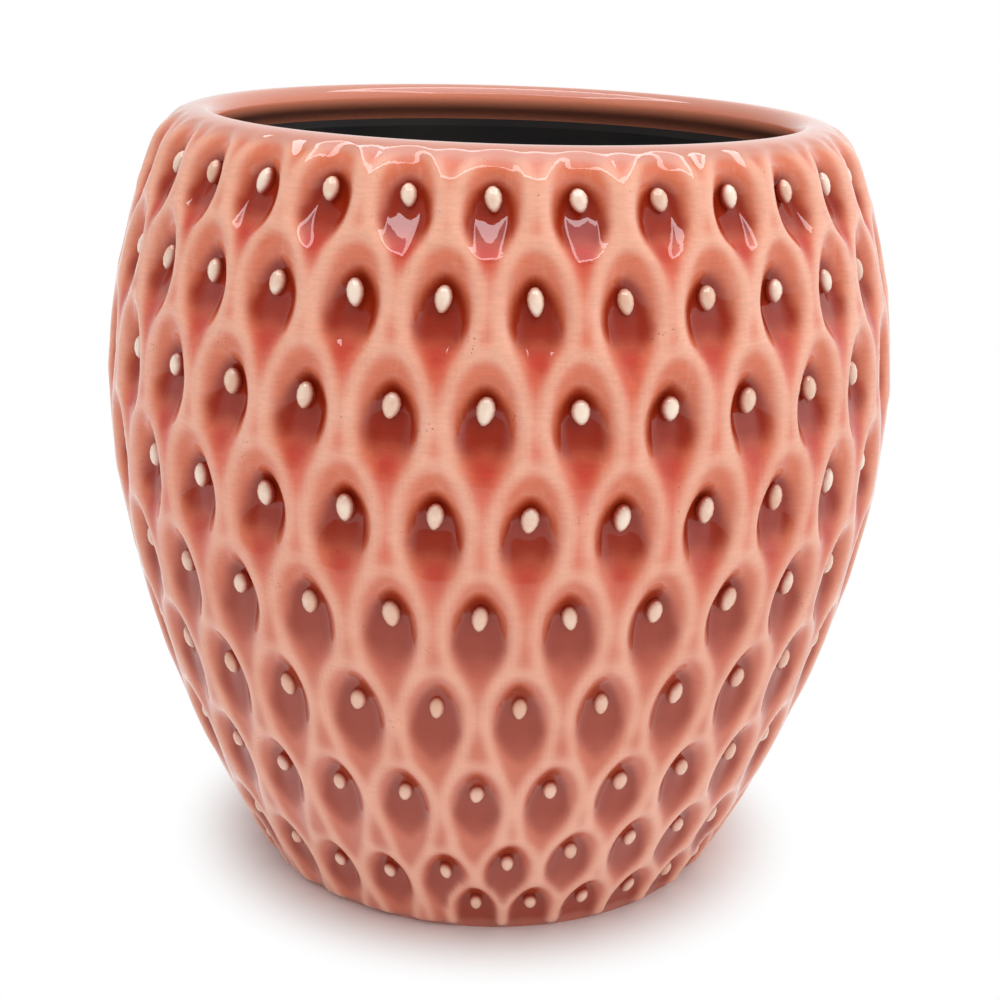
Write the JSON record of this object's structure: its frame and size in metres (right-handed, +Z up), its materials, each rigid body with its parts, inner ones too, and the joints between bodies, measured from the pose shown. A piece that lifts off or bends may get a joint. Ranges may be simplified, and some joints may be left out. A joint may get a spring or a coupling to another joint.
{
  "type": "planter",
  "caption": "Round glazed ceramic planter shaped like a strawberry, with rows of drop-shaped hollows, a raised seed in each, a rolled lip and a waterproof coat inside.",
  "frame": {"origin": "centre of the foot, on the surface that the pot stands on", "axes": "+Z up along the pot's axis; the first seed of each odd row, counted from the lip, faces -Y"},
  "size_m": [0.2, 0.2, 0.1955],
  "materials": {
    "coral_glaze": "gloss, translucent, darker where it pools",
    "seed_glaze": "gloss, thin over pale clay",
    "black_coat": "satin waterproof coat"
  },
  "bodies": {
    "root": {"pot_body": "coral_glaze", "inner_coat": "black_coat", "seed_row_1": "seed_glaze", "seed_row_2": "seed_glaze", "seed_row_3": "seed_glaze", "seed_row_4": "seed_glaze", "seed_row_5": "seed_glaze", "seed_row_6": "seed_glaze", "seed_row_7": "seed_glaze", "seed_row_8": "seed_glaze", "seed_row_9": "seed_glaze"}
  },
  "joints": []
}
